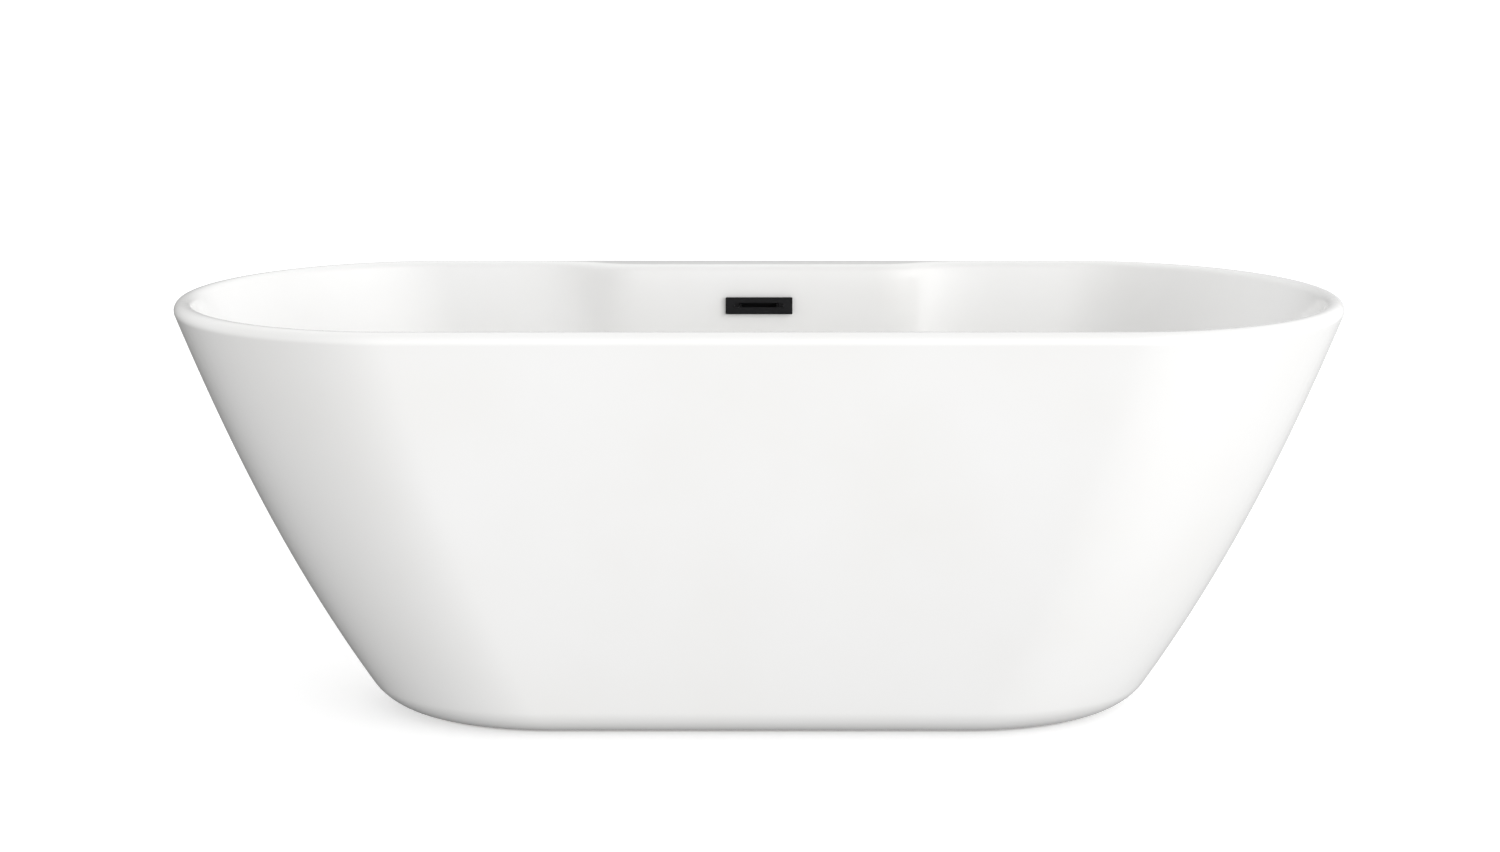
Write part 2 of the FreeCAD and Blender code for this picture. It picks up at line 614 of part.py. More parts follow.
CAP_RADIUS = 31.0
cap_low = flange_top + 0.4
dome = Part.makeSphere(180.0, Vec(0, 0, cap_low + 4.0 - 180.0 + 1.0))
cap = cylinder(CAP_RADIUS, cap_low, cap_low + 6.0).common(dome)
cap = cap.fuse(cylinder(18.0, cap_low - 5.0, cap_low + 1.0))
cap = cap.cut(cylinder(STEM_RADIUS + THREAD_CLEARANCE, cap_low - 6.0, flange_top + 3.05))
seal_groove = tube(19.0, 16.0, cap_low - 3.5, cap_low - 0.5)
cap = cap.cut(seal_groove)
export("plug_cap", lifted(cap))
seal = Part.makeTorus(18.2, 1.42, Vec(0, 0, cap_low - 2.0), UP)
seal = seal.cut(cylinder(16.6, cap_low - 6.0, cap_low + 1.0))
export("plug_seal", lifted(seal))

WIRE_RADIUS = 0.45
COIL_RADIUS = 4.8
coil_low = SPRING_LOW + WIRE_RADIUS + 0.02
coil_high = STEM_LOW + PLUG_LIFT - WIRE_RADIUS - 0.02
TURNS = 7.0
helix = Part.makeHelix((coil_high - coil_low) / TURNS, coil_high - coil_low, COIL_RADIUS)
helix.translate(Vec(0, 0, coil_low))
wire_circle = Part.Wire(Part.Circle(Vec(COIL_RADIUS, 0, coil_low), Vec(0, 1, 0.08), WIRE_RADIUS).toShape())
spring = Part.Wire(helix).makePipeShell([wire_circle], True, True)
export("plug_spring", at_drain(spring))

GASKET_LOW = board_top - 3.0
body_top = GASKET_LOW
BODY_RADIUS = 29.0
body_low = 58.0
OUTLET_LOW = 46.0
body = cylinder(34.0, body_top - 4.0, body_top).fuse(cylinder(BODY_RADIUS, body_low, body_top - 4.0))
body = body.fuse(cylinder(24.0, OUTLET_LOW, body_low))
inlet = Part.makeCylinder(SPIGOT_RADIUS, 54.0, Vec(0, 0, INLET_Z), Vec(0, 1, 0))
inlet_bore = Part.makeCylinder(SPIGOT_RADIUS - 2.0, 60.0, Vec(0, 0, INLET_Z), Vec(0, 1, 0))
body = body.fuse(inlet)
body = body.cut(cylinder(THROAT_RADIUS + THREAD_CLEARANCE, 110.0, body_top + 1))
body = body.cut(cylinder(26.0, body_low + 3.0, 110.0)).cut(inlet_bore)
body = body.cut(cylinder(17.0, OUTLET_LOW - 1, body_low + 4.0))
body = body.cut(cylinder(TAIL_RADIUS + 0.1, OUTLET_LOW - 1, body_low - 2.0))
export("waste_body", at_drain(body))
export("waste_gasket", at_drain(tube(33.5, THROAT_RADIUS + 0.5, GASKET_LOW, board_top)))

TAIL_LOW = 12.0
TAIL_SHOULDER = 38.0
TAIL_TOP = body_low - 2.5
tailpiece = cylinder(TAIL_RADIUS, TAIL_LOW, TAIL_SHOULDER)
tailpiece = tailpiece.fuse(cylinder(TAIL_RADIUS - 0.5, TAIL_SHOULDER, TAIL_TOP))
tailpiece = tailpiece.cut(cylinder(TAIL_RADIUS - 2.5, TAIL_LOW - 1, TAIL_TOP + 1))
export("waste_tailpiece", at_drain(tailpiece))
NUT_LOW = 40.0
slip_nut = cylinder(28.5, NUT_LOW, body_low - 1.0)
for i in range(12):
    turn = math.radians(30.0 * i)
    flute = cylinder(3.0, NUT_LOW - 1, body_low, 30.0 * math.cos(turn), 30.0 * math.sin(turn))
    slip_nut = slip_nut.cut(flute)
slip_nut = slip_nut.cut(cylinder(24.0 + THREAD_CLEARANCE, OUTLET_LOW - 0.5, body_low + 1))
slip_nut = slip_nut.cut(cylinder(TAIL_RADIUS + 0.1, NUT_LOW - 1, OUTLET_LOW))
export("tail_slip_nut", at_drain(slip_nut))

# ---- overflow pipe between the two shells and under the frame ----

def cavity_middle(z):
    skin = skirt_inside_y(z)
    bowl = bath_half(BATH_HALF_WIDTH, WIDTH / 2.0, z, backing_depth) - ledge_depth(z, backing_depth)
    return (skin + bowl) / 2.0


pipe_top = spigot_at.z - 18.0
inlet_end = DRAIN_Y + 54.0
bend_start = Vec(0, spigot_at.y, spigot_low)
bend_end = Vec(0, inlet_end, INLET_Z)
bend = [bend_start]
for step in range(9):
    z = 440.0 - 30.0 * step
    bend.append(Vec(0, cavity_middle(z), z))
bend.append(Vec(0, cavity_middle(150.0) - 6.0, 138.0))
bend.append(Vec(0, inlet_end + 52.0, INLET_Z + 15.0))
bend.append(bend_end)
curve = Part.BSplineCurve()
curve.interpolate(Points=bend, InitialTangent=Vec(0, 0, -1), FinalTangent=Vec(0, -1, 0))
upper_run = Part.makeLine(Vec(0, spigot_at.y, pipe_top), bend_start)
lower_run = Part.makeLine(bend_end, Vec(0, inlet_end - 20.0, INLET_Z))
path_wire = Part.Wire([upper_run, curve.toShape(), lower_run])


def swept(radius):
    ring = Part.Wire(Part.Circle(Vec(0, spigot_at.y, pipe_top), UP, radius).toShape())
    return path_wire.makePipeShell([ring], True, False)


pipe = swept(OVERFLOW_PIPE_RADIUS).cut(swept(SPIGOT_RADIUS + 0.1))
export("overflow_pipe", pipe)

clip_outer = OVERFLOW_PIPE_RADIUS + 1.4
clip_inner = OVERFLOW_PIPE_RADIUS + 0.05
clips = []
upper_clip = (Vec(0, spigot_at.y, pipe_top - 12.0), UP)
lower_clip = (Vec(0, inlet_end - 14.0, INLET_Z), Vec(0, 1, 0))
for where, along in (upper_clip, lower_clip):
    band = Part.makeCylinder(clip_outer, 8.0, Vec(0, 0, 0), UP).cut(Part.makeCylinder(clip_inner, 8.0))
    lug = box(clip_outer - 0.8, clip_outer + 5.0, -3.0, 3.0, 0.5, 7.5)
    clip = band.fuse(lug)
    clip.Placement = FreeCAD.Placement(where, FreeCAD.Rotation(UP, along))
    clips.append(clip)
export("hose_clips", group(clips))
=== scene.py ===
import json
import math

import bmesh
import bpy
from mathutils import Matrix, Vector


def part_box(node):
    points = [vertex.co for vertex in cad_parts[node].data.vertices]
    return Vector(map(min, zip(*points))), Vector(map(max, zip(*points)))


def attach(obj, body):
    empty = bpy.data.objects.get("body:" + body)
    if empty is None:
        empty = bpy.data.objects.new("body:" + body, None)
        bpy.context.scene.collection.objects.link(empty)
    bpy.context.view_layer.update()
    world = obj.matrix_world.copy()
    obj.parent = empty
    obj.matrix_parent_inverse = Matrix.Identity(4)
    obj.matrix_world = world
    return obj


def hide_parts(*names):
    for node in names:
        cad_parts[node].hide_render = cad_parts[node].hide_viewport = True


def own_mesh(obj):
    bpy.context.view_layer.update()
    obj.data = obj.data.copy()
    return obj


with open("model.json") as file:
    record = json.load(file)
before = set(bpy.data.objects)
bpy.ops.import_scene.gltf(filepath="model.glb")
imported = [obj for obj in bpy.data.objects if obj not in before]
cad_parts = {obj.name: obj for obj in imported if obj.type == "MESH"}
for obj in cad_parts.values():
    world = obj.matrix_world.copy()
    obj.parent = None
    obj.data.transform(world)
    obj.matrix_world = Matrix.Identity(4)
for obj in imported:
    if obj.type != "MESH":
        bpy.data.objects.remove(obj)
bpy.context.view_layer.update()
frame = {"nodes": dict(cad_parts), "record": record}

X, Z = Vector((1, 0, 0)), Vector((0, 0, 1))

# ------------------------------------------------------------------ sizes, in metres

basin_low, basin_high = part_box("inner_basin")
LENGTH = basin_high.x - basin_low.x
WIDTH = basin_high.y - basin_low.y
HEIGHT = 0.580
SHELL = 0.005
SEAM_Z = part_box("outer_skirt")[1].z
RIM_RADIUS = 0.0125
RIM_CROWN = 0.001
RIM_Z = HEIGHT - RIM_RADIUS
BASE = (0.520, 0.197, 0.283)
TOP_STRAIGHT = 0.469
BELLY, BELLY_SKEW = 0.318, 0.062
FLOOR_GAP = 0.002
FOOT_RADIUS = 0.038
LIP_INSET = 0.031
BATH_FLOOR = 0.150
BATH = (0.555, 0.200)
BATH_RADIUS = 0.070
LEDGE_FACE = 0.309
LEDGE_HALF = 0.172
LEDGE_FLANK = 0.186
FLANK_SWEEP, FLANK_TURN = 0.140, 0.088
LEDGE_TAPER = 0.085
LEDGE_LEAN = math.radians(5.0)
LEDGE_BLEND = 0.006
QUARTER = 0.5523
DRAIN = (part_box("drain_flange")[0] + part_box("drain_flange")[1]) / 2
PITCH = 0.00175

# overflow: height of its middle, width, height and corner of its hole, and its two screw holes
OVERFLOW_Z = 0.520
OVERFLOW_HOLE = (0.060, 0.013, 0.006)
SCREW_X, SCREW_HOLE_RADIUS = 0.0405, 0.0027

# points along each stretch of a plan outline
QUARTER_STEPS, SIDE_STEPS, FLANK_STEPS, FRONT_STEPS = 44, 8, 28, 32


# ------------------------------------------------------------------ shape of the two shells

def bellied(rise):
    rest = rise * (1 - rise)
    return rise + BELLY * rest + BELLY_SKEW * rest * (1 - 2 * rise)


def half_straight(z):
    return BASE[2] + (TOP_STRAIGHT - BASE[2]) * bellied(min(1.0, z / RIM_Z))


def fillet_inset(radius, height):
    if height >= radius:
        return 0.0
    down = 1 - height / radius
    return radius * (1 - math.sqrt(max(0.0, 1 - down * down)))


def outer_half(base, top, z, inward=0.0):
    lean = math.atan((top - base) * (1 - BELLY + BELLY_SKEW) / RIM_Z)
    radius = RIM_RADIUS - inward
    join = RIM_Z - radius * math.sin(lean)
    if z >= join:
        return top - RIM_RADIUS + math.sqrt(max(0.0, radius ** 2 - (z - RIM_Z) ** 2))
    start = base - inward * 1.15
    half = start + (top - RIM_RADIUS + radius * math.cos(lean) - start) * bellied(z / join)
    return half - fillet_inset(FOOT_RADIUS - inward, z - FLOOR_GAP - inward)


def bath_half(base, top, z, outward=0.0):
    floor = BATH_FLOOR - outward
    lean = math.atan((top - 2 * RIM_RADIUS - base) * (1 - BELLY + BELLY_SKEW) / (HEIGHT - floor))
    radius = RIM_RADIUS - outward
    join = RIM_Z + radius * math.sin(lean)
    centre = top - RIM_RADIUS - RIM_CROWN
    if z >= join:
        return centre - math.sqrt(max(0.0, radius ** 2 - (z - RIM_Z) ** 2))
    start = base + outward * 1.12
    half = start + (centre - radius * math.cos(lean) - start) * bellied((z - floor) / (join - floor))
    return half - fillet_inset(BATH_RADIUS + outward, z - floor)


def ledge_depth(z, outward=0.0):
    level = min(z, RIM_Z)
    wall = bath_half(BATH[1], WIDTH / 2, level, outward)
    proud = wall - (LEDGE_FACE + outward - (RIM_Z - level) * math.tan(LEDGE_LEAN))
    return 0.5 * (proud + math.hypot(proud, LEDGE_BLEND))


def ledge_half(z, outward=0.0):
    radius = RIM_RADIUS - outward
    above = min(radius, max(0.0, z - RIM_Z))
    roll = radius - math.sqrt(radius ** 2 - above ** 2)
    return LEDGE_HALF - outward - max(0.0, RIM_Z - z) * LEDGE_TAPER - roll


def bezier(poles, steps):
    """Points along a cubic, without its last one."""
    points = []
    for i in range(steps):
        t = i / steps
        s = 1 - t
        weights = (s ** 3, 3 * s * s * t, 3 * s * t * t, t ** 3)
        points.append(sum((w * p for w, p in zip(weights, poles)), Vector((0, 0))))
    return points


def straight(start, end, steps):
    return [start.lerp(end, i / steps) for i in range(steps)]


def plan(a, b, c, narrow, depth):
    """Plan outline with the same number of points at every height, starting at the +X tip."""
    v = Vector
    end, q = a - c, QUARTER
    wide = narrow + LEDGE_FLANK
    front = b - depth
    right_back = [v((a, 0)), v((a, q * b)), v((c + q * end, b)), v((c, b))]
    flank = [
        v((wide, b)), v((wide - FLANK_SWEEP, b)),
        v((narrow + FLANK_TURN, front)), v((narrow, front))]
    other = [v((-p.x, p.y)) for p in reversed(flank)]
    points = bezier(right_back, QUARTER_STEPS)
    points += straight(v((c, b)), flank[0], SIDE_STEPS)
    points += bezier(flank, FLANK_STEPS)
    points += straight(flank[3], other[0], FRONT_STEPS)
    points += bezier(other, FLANK_STEPS)
    points += straight(other[3], v((-c, b)), SIDE_STEPS)
    points += bezier([v((-p.x, p.y)) for p in reversed(right_back)], QUARTER_STEPS)
    points += bezier([v((-p.x, -p.y)) for p in right_back], QUARTER_STEPS)
    points += straight(v((-c, -b)), v((c, -b)), FRONT_STEPS)
    points += bezier([v((p.x, -p.y)) for p in reversed(right_back)], QUARTER_STEPS)
    return points


def outer_row(z, inward=0.0):
    a = outer_half(BASE[0], LENGTH / 2, z, inward)
    b = outer_half(BASE[1], WIDTH / 2, z, inward)
    c = half_straight(z)
    # the flanks' points stay on the straight side, which is shorter low down
    narrow = min(LEDGE_HALF, c - LEDGE_FLANK - 0.010)
    return [Vector((p.x, p.y, z)) for p in plan(a, b, c, narrow, 0.0)]


def bath_row(z, outward=0.0):
    a = bath_half(BATH[0], LENGTH / 2, z, outward)
    b = bath_half(BATH[1], WIDTH / 2, z, outward)
    points = plan(a, b, half_straight(z), ledge_half(z, outward), ledge_depth(z, outward))
    return [Vector((p.x, p.y, z)) for p in points]


def circle_row(radius, z, like):
    """A ring round the drain whose points face those of another row."""
    row = []
    for p in like:
        away = Vector((p.x - DRAIN.x, p.y - DRAIN.y, 0)).normalized()
        row.append(Vector((DRAIN.x + away.x * radius, DRAIN.y + away.y * radius, z)))
    return row


def between(row_a, row_b, share):
    return [p.lerp(q, share) for p, q in zip(row_a, row_b)]


# ------------------------------------------------------------------ mesh helpers

def finish_mesh(name, bm, material, sharp=35.0):
    bmesh.ops.remove_doubles(bm, verts=bm.verts, dist=1e-7)
    bmesh.ops.recalc_face_normals(bm, faces=bm.faces)
    mesh = bpy.data.meshes.new(name)
    bm.to_mesh(mesh)
    bm.free()
    mesh.shade_smooth()
    mesh.set_sharp_from_angle(angle=math.radians(sharp))
    mesh.materials.append(material)
    obj = bpy.data.objects.new(name, mesh)
    bpy.context.scene.collection.objects.link(obj)
    return obj


def skin_rows(bm, rows, around=True, loop=False):
    """Quads between neighbouring rows; around closes each row, loop joins the last row to the first."""
    made = [[bm.verts.new(p) for p in row] for row in rows]
    count = len(made[0])
    pairs = list(zip(made, made[1:]))
    if loop:
        pairs.append((made[-1], made[0]))
    for low, high in pairs:
        for i in range(count if around else count - 1):
            j = (i + 1) % count
            bm.faces.new((low[i], low[j], high[j], high[i]))
    return made


def cap(bm, ring):
    bm.faces.new(ring)


def turned(bm, profile, centre, steps=64, closed=False):
    """Turns (radius, height) pairs round Z. closed joins the last pair to the first, for a ring."""
    rows = []
    for radius, height in profile:
        row = []
        for i in range(steps):
            angle = 2 * math.pi * i / steps
            row.append(Vector(centre) + Vector((radius * math.cos(angle), radius * math.sin(angle), height)))
        rows.append(row)
    made = skin_rows(bm, rows, loop=closed)
    if not closed:
        cap(bm, made[0])
        cap(bm, made[-1])


def arc(centre_r, centre_z, radius, start, end, steps=6):
    """(radius, height) points round an arc in a turned profile, angles in degrees."""
    points = []
    for i in range(steps + 1):
        angle = math.radians(start + (end - start) * i / steps)
        points.append((centre_r + radius * math.cos(angle), centre_z + radius * math.sin(angle)))
    return points


def swept(bm, points, radius_at, steps=24):
    """A round bar along the points of a curve without sharp turns."""
    rows = []
    side = X
    for i, p in enumerate(points):
        along = (points[min(i + 1, len(points) - 1)] - points[max(i - 1, 0)]).normalized()
        side = (side - along * side.dot(along)).normalized()
        other = along.cross(side)
        r = radius_at(i)
        ring = [2 * math.pi * k / steps for k in range(steps)]
        rows.append([p + side * (r * math.cos(t)) + other * (r * math.sin(t)) for t in ring])
    made = skin_rows(bm, rows)
    cap(bm, made[0])
    cap(bm, made[-1])


def cut(obj, cutters):
    for cutter in cutters:
        change = obj.modifiers.new("cut", "BOOLEAN")
        change.operation = "DIFFERENCE"
        change.solver = "EXACT"
        change.object = cutter
    bpy.context.view_layer.update()
    evaluated = obj.evaluated_get(bpy.context.evaluated_depsgraph_get())
    shape = bpy.data.meshes.new_from_object(evaluated)
    obj.modifiers.clear()
    obj.data = shape
    for cutter in cutters:
        bpy.data.objects.remove(cutter)
    shape.shade_smooth()
    shape.set_sharp_from_angle(angle=math.radians(35))


# ------------------------------------------------------------------ materials

def new_material(name, color, rough, metal=0.0):
    mat = bpy.data.materials.new(name)
    mat.use_nodes = True
    shader = mat.node_tree.nodes["Principled BSDF"]
    shader.inputs["Base Color"].default_value = (*color, 1)
    shader.inputs["Roughness"].default_value = rough
    shader.inputs["Metallic"].default_value = metal
    return mat, mat.node_tree.nodes, mat.node_tree.links, shader


def noise(nodes, links, scale, detail=4.0, stretch=(1, 1, 1), rough=0.5):
    where = nodes.new("ShaderNodeTexCoord")
    fit = nodes.new("ShaderNodeMapping")
    fit.inputs["Scale"].default_value = stretch
    cloud = nodes.new("ShaderNodeTexNoise")
    cloud.inputs["Scale"].default_value = scale
    cloud.inputs["Detail"].default_value = detail
    cloud.inputs["Roughness"].default_value = rough
    links.new(where.outputs["Object"], fit.inputs["Vector"])
    links.new(fit.outputs["Vector"], cloud.inputs["Vector"])
    return cloud.outputs["Fac"]


def spread(nodes, links, value, low, high, start=0.3, end=0.7):
    band = nodes.new("ShaderNodeMapRange")
    band.inputs["From Min"].default_value = start
    band.inputs["From Max"].default_value = end
    band.inputs["To Min"].default_value = low
    band.inputs["To Max"].default_value = high
    links.new(value, band.inputs["Value"])
    return band.outputs["Result"]


def tint(nodes, links, value, dark, light):
    mix = nodes.new("ShaderNodeMix")
    mix.data_type = "RGBA"
    mix.inputs["A"].default_value = (*dark, 1)
    mix.inputs["B"].default_value = (*light, 1)
    links.new(value, mix.inputs["Factor"])
    return mix.outputs["Result"]


def bump(nodes, links, shader, value, height, strength=1.0, under=None):
    rough = nodes.new("ShaderNodeBump")
    rough.inputs["Distance"].default_value = height
    rough.inputs["Strength"].default_value = strength
    links.new(value, rough.inputs["Height"])
    if under is not None:
        links.new(under, rough.inputs["Normal"])
    links.new(rough.outputs["Normal"], shader.inputs["Normal"])
    return rough.outputs["Normal"]


def acrylic():
    """Sanitary acrylic: near-white, glossy, with the faint long ripple that a formed sheet keeps."""
    mat, nodes, links, shader = new_material("white_acrylic", (0.87, 0.868, 0.86), 0.2)
    shade = spread(nodes, links, noise(nodes, links, 5.0, 3.0), 0.0, 1.0)
    color = tint(nodes, links, shade, (0.862, 0.858, 0.846), (0.880, 0.879, 0.874))
    links.new(color, shader.inputs["Base Color"])
    gloss = spread(nodes, links, noise(nodes, links, 60.0, 5.0), 0.17, 0.23)
    links.new(gloss, shader.inputs["Roughness"])
    ripple = bump(nodes, links, shader, noise(nodes, links, 9.0, 1.0), 0.0012, 0.25)
    bump(nodes, links, shader, noise(nodes, links, 420.0, 2.0), 0.00002, 0.5, ripple)
    shader.inputs["Coat Weight"].default_value = 0.3
    shader.inputs["Coat Roughness"].default_value = 0.07
    return mat


def plastic(name, dark, light, rough, grain=1500.0, depth=0.00003, specular=0.5):
    mat, nodes, links, shader = new_material(name, light, rough)
    shader.inputs["Specular IOR Level"].default_value = specular
    shade = spread(nodes, links, noise(nodes, links, 35.0, 6.0), 0.0, 1.0)
    links.new(tint(nodes, links, shade, dark, light), shader.inputs["Base Color"])
    patches = spread(nodes, links, noise(nodes, links, 240.0, 3.0), rough - 0.06, rough + 0.06)
    links.new(patches, shader.inputs["Roughness"])
    bump(nodes, links, shader, noise(nodes, links, grain, 3.0), depth, 0.6)
    return mat


def glass_fibre():
    """Chopped strands under sprayed resin: crossing pale threads, amber pools and a lumpy face."""
    mat, nodes, links, shader = new_material("glass_fibre", (0.72, 0.68, 0.56), 0.45)
    strands = noise(nodes, links, 160.0, 3.0, (1, 0.12, 1))
    crossing = noise(nodes, links, 150.0, 3.0, (0.12, 1, 0.3))
    both = nodes.new("ShaderNodeMath")
    both.operation = "MAXIMUM"
    links.new(strands, both.inputs[0])
    links.new(crossing, both.inputs[1])
    threads = spread(nodes, links, both.outputs["Value"], 0.0, 1.0, 0.5, 0.66)
    color = tint(nodes, links, threads, (0.56, 0.50, 0.36), (0.80, 0.78, 0.68))
    links.new(color, shader.inputs["Base Color"])
    lumps = bump(nodes, links, shader, noise(nodes, links, 22.0, 4.0), 0.002, 0.5)
    bump(nodes, links, shader, threads, 0.0003, 0.6, lumps)
    return mat


def plywood():
    """Grain on the faces, and on the edges the stacked plies, each about 1.5 mm thick."""
    mat, nodes, links, shader = new_material("plywood", (0.55, 0.38, 0.22), 0.6)
    grain = noise(nodes, links, 30.0, 8.0, (0.08, 1.6, 1.0), 0.65)
    streaks = spread(nodes, links, grain, 0.0, 1.0)
    face = tint(nodes, links, streaks, (0.42, 0.27, 0.14), (0.68, 0.50, 0.31))
    where = nodes.new("ShaderNodeTexCoord")
    height = nodes.new("ShaderNodeSeparateXYZ")
    links.new(where.outputs["Object"], height.inputs["Vector"])
    plies = nodes.new("ShaderNodeMath")
    plies.operation = "PINGPONG"
    plies.inputs[1].default_value = 0.0015
    links.new(height.outputs["Z"], plies.inputs[0])
    layer = spread(nodes, links, plies.outputs["Value"], 0.0, 1.0, 0.0006, 0.0009)
    edge = tint(nodes, links, layer, (0.34, 0.20, 0.10), (0.62, 0.46, 0.28))
    facing = nodes.new("ShaderNodeNewGeometry")
    up = nodes.new("ShaderNodeSeparateXYZ")
    links.new(facing.outputs["Normal"], up.inputs["Vector"])
    flat = nodes.new("ShaderNodeMath")
    flat.operation = "ABSOLUTE"
    links.new(up.outputs["Z"], flat.inputs[0])
    mix = nodes.new("ShaderNodeMix")
    mix.data_type = "RGBA"
    links.new(spread(nodes, links, flat.outputs["Value"], 0.0, 1.0, 0.5, 0.8), mix.inputs["Factor"])
    links.new(edge, mix.inputs["A"])
    links.new(face, mix.inputs["B"])
    links.new(mix.outputs["Result"], shader.inputs["Base Color"])
    bump(nodes, links, shader, grain, 0.0003, 0.5)
    return mat


def metal(name, dark, light, rough, brush=(1, 1, 1), depth=0.00001, metallic=1.0):
    mat, nodes, links, shader = new_material(name, light, rough, metallic)
    shade = spread(nodes, links, noise(nodes, links, 60.0, 6.0), 0.0, 1.0)
    links.new(tint(nodes, links, shade, dark, light), shader.inputs["Base Color"])
    lines = noise(nodes, links, 900.0, 3.0, brush)
    links.new(spread(nodes, links, lines, rough * 0.75, rough * 1.3), shader.inputs["Roughness"])
    bump(nodes, links, shader, lines, depth, 0.5)
    return mat


def painted_steel():
    """Grey primer with orange peel, rubbed through to steel in a few small spots."""
    mat, nodes, links, shader = new_material("painted_steel", (0.30, 0.32, 0.33), 0.45)
    shade = spread(nodes, links, noise(nodes, links, 18.0, 5.0), 0.0, 1.0)
    paint = tint(nodes, links, shade, (0.26, 0.28, 0.29), (0.34, 0.36, 0.37))
    worn = spread(nodes, links, noise(nodes, links, 85.0, 6.0), 0.0, 1.0, 0.70, 0.74)
    mix = nodes.new("ShaderNodeMix")
    mix.data_type = "RGBA"
    mix.inputs["B"].default_value = (0.50, 0.49, 0.47, 1)
    links.new(worn, mix.inputs["Factor"])
    links.new(paint, mix.inputs["A"])
    links.new(mix.outputs["Result"], shader.inputs["Base Color"])
    links.new(worn, shader.inputs["Metallic"])
    bump(nodes, links, shader, noise(nodes, links, 500.0, 2.0), 0.00006, 0.6)
    return mat


looks = {
    "white_acrylic": acrylic(),
    "glass_fibre": glass_fibre(),
    "plywood": plywood(),
    "black_plastic": plastic(
        "black_plastic", (0.005, 0.005, 0.006), (0.009, 0.009, 0.010), 0.45, 2600.0, 0.00001, 0.14),
    "rubber": plastic("rubber", (0.014, 0.014, 0.014), (0.028, 0.028, 0.027), 0.75, 1200.0, 0.00006),
    "pipe_plastic": plastic("pipe_plastic", (0.48, 0.48, 0.47), (0.58, 0.58, 0.57), 0.4),
    "foot_plastic": plastic(
        "foot_plastic", (0.018, 0.018, 0.019), (0.036, 0.036, 0.038), 0.5, 900.0, 0.00008),
    "stainless": metal("stainless", (0.50, 0.50, 0.51), (0.66, 0.66, 0.67), 0.28, (1, 1, 0.05)),
    "zinc": metal("zinc", (0.52, 0.54, 0.56), (0.70, 0.71, 0.70), 0.33),
    "painted_steel": painted_steel(),
    "chrome": metal("chrome", (0.80, 0.81, 0.83), (0.90, 0.91, 0.92), 0.07, depth=0.000002),
    "brass": metal("brass", (0.58, 0.42, 0.18), (0.76, 0.60, 0.30), 0.25, (1, 1, 0.05)),
}

slot_of = {part["node"]: part["material_slot"] for part in frame["record"]["subparts"]}
for node, obj in frame["nodes"].items():
    if not obj.material_slots:
        obj.data.materials.append(looks[slot_of[node]])
    for place in obj.material_slots:
        place.material = looks[slot_of[node]]


def stands_for(obj, node, body):
    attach(obj, body)
    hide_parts(node)
    return obj


# ------------------------------------------------------------------ outer skirt

def lip_height(inward):
    """Height at which the rounded foot has come in to the edge of the opening under the tub."""
    low, high = FLOOR_GAP + inward, FLOOR_GAP + FOOT_RADIUS
    for _ in range(40):
        middle = (low + high) / 2
        if outer_half(BASE[1], WIDTH / 2, middle, inward) < BASE[1] - LIP_INSET:
            low = middle
        else:
            high = middle
    return high


def climb(low, foot_top, top, foot_low, radius):
    """Heights from the lip, round the foot, then up the wall."""
    start = math.degrees(math.acos(max(-1.0, min(1.0, 1 - (low - foot_low) / radius))))
    turns = [math.radians(start + (90 - start) * i / 18) for i in range(19)]
    heights = [foot_low + radius * (1 - math.cos(turn)) for turn in turns]
    heights += [foot_top + (top - foot_top) * i / 70 for i in range(1, 71)]
    return heights


skirt_rows = []
for inward in (0.0, SHELL):
    foot_low = FLOOR_GAP + inward
    radius = FOOT_RADIUS - inward
    heights = climb(lip_height(inward), foot_low + radius, SEAM_Z, foot_low, radius)
    rows = [outer_row(z, inward) for z in heights]
    skirt_rows += rows if inward == 0.0 else rows[::-1]
bm = bmesh.new()
skin_rows(bm, skirt_rows, loop=True)
stands_for(finish_mesh("outer_skirt_shell", bm, looks["white_acrylic"]), "outer_skirt", "tub")

# ------------------------------------------------------------------ inner basin


def roll_heights(radius, start, end, steps):
    """Heights round the rim roll, from one angle above level to another, in degrees."""
    turns = [math.radians(start + (end - start) * i / steps) for i in range(steps + 1)]
    return [RIM_Z + radius * math.sin(turn) for turn in turns]


def bowl_heights(outward, low_steps=22, wall_steps=64):
    """Heights from the bath floor, round its rounded edge and up the wall to the rim roll."""
    floor, radius = BATH_FLOOR - outward, BATH_RADIUS + outward
    turns = [math.radians(90 * i / low_steps) for i in range(low_steps + 1)]
    heights = [floor + radius * (1 - math.cos(turn)) for turn in turns]
    top = RIM_Z + (RIM_RADIUS - outward) * math.sin(math.radians(10))
    heights += [floor + radius + (top - floor - radius) * i / wall_steps for i in range(1, wall_steps + 1)]
    return heights


# the rows follow the visible surface from the seam over the rim and down to the drain hole, and then
# the hidden one back, a shell's thickness behind it
rows = [outer_row(SEAM_Z + (RIM_Z - 0.006 - SEAM_Z) * i / 6) for i in range(7)]
rows += [outer_row(z) for z in roll_heights(RIM_RADIUS, -24, 90, 19)]
rows += [bath_row(z) for z in roll_heights(RIM_RADIUS, 90, 16, 13)]
rows += [bath_row(z) for z in bowl_heights(0.0)[::-1]]
floor_edge = rows[-1]
dish = circle_row(0.056, BATH_FLOOR, floor_edge)
rows += [between(floor_edge, dish, share) for share in (0.2, 0.4, 0.6, 0.8)] + [dish]
for radius, depth in ((0.036, 0.0012), (0.036, 0.002), (0.025, 0.002), (0.025, SHELL)):
    rows.append(circle_row(radius, BATH_FLOOR - depth, floor_edge))
under = [bath_row(z, SHELL) for z in bowl_heights(SHELL, 12, 24)]
rows += [between(rows[-1], under[0], 0.5)] + under
